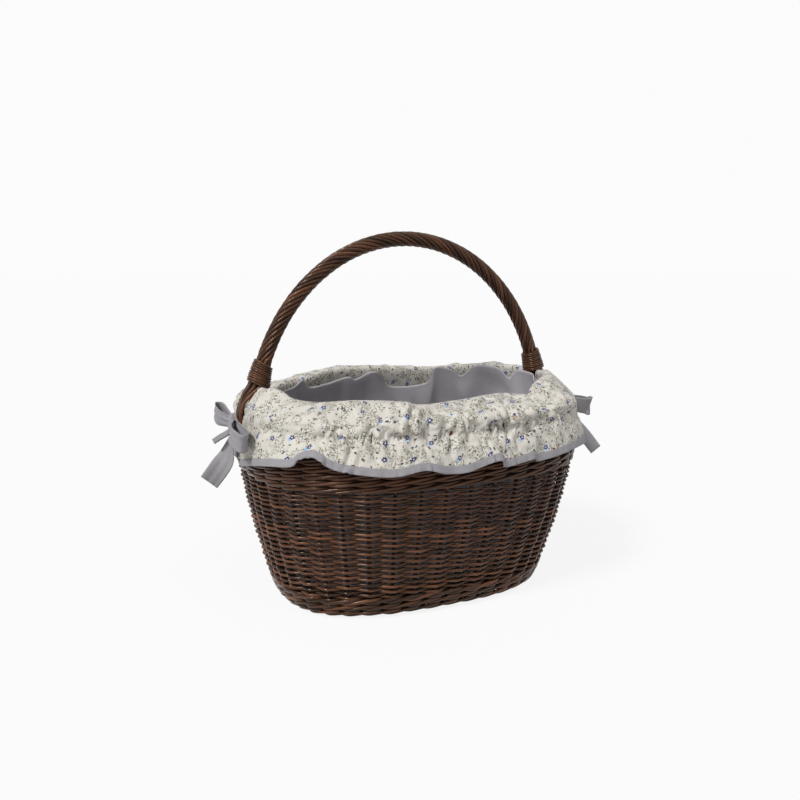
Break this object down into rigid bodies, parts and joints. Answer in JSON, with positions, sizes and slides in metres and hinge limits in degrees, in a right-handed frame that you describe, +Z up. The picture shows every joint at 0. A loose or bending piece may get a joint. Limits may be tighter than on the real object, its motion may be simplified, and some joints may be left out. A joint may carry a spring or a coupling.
{
  "type": "shopping basket",
  "caption": "Round-cornered oblong willow basket with a fixed rope-laid bow handle over its length and a tied cloth liner whose frill is turned down over the rim.",
  "frame": {"origin": "on the floor under the middle of the basket", "axes": "+X along the basket's length, in the plane of the bow handle, toward the bow whose loop stands out; +Y to the back; +Z up"},
  "size_m": [0.5224, 0.3758, 0.4434],
  "materials": {
    "willow": "dark stained willow rod with a thin satin varnish",
    "pale_willow": "brown stained willow rod with a thin satin varnish",
    "lining": "plain grey cotton, matt",
    "floral": "cream cotton with a small all-over sprig print, matt",
    "ribbon": "grey cotton tape, matt"
  },
  "bodies": {
    "root": {"right_end_stakes_and_border": "willow", "back_right_stakes_and_border": "willow", "back_stakes_and_border": "willow", "back_left_stakes_and_border": "willow", "left_end_stakes_and_border": "willow", "front_left_stakes_and_border": "willow", "front_stakes_and_border": "willow", "front_right_stakes_and_border": "willow", "upsett_wale_1": "willow", "upsett_wale_2": "willow", "upsett_wale_3": "willow", "top_wale_1": "willow", "top_wale_2": "willow", "top_wale_3": "willow", "base_hoop": "willow", "base_weaver_1": "willow", "base_weaver_2": "willow", "bow_core": "willow", "bow_strand_2": "willow", "bow_strand_4": "willow", "bow_strand_6": "willow", "left_binding": "willow", "right_binding": "willow", "side_weaver": "pale_willow", "long_base_stick_1": "pale_willow", "long_base_stick_2": "pale_willow", "long_base_stick_3": "pale_willow", "cross_base_stick_1": "pale_willow", "cross_base_stick_2": "pale_willow", "cross_base_stick_3": "pale_willow", "cross_base_stick_4": "pale_willow", "cross_base_stick_5": "pale_willow", "bow_strand_1": "pale_willow", "bow_strand_3": "pale_willow", "bow_strand_5": "pale_willow", "lining_wall": "lining", "lining_floor": "lining", "back_frill": "floral", "front_frill": "floral", "back_hem_binding": "ribbon", "front_hem_binding": "ribbon", "left_knot": "ribbon", "left_back_loop": "ribbon", "left_front_loop": "ribbon", "left_long_tail": "ribbon", "left_short_tail": "ribbon", "right_knot": "ribbon", "right_back_loop": "ribbon", "right_front_loop": "ribbon", "right_long_tail": "ribbon", "right_short_tail": "ribbon"}
  },
  "joints": []
}
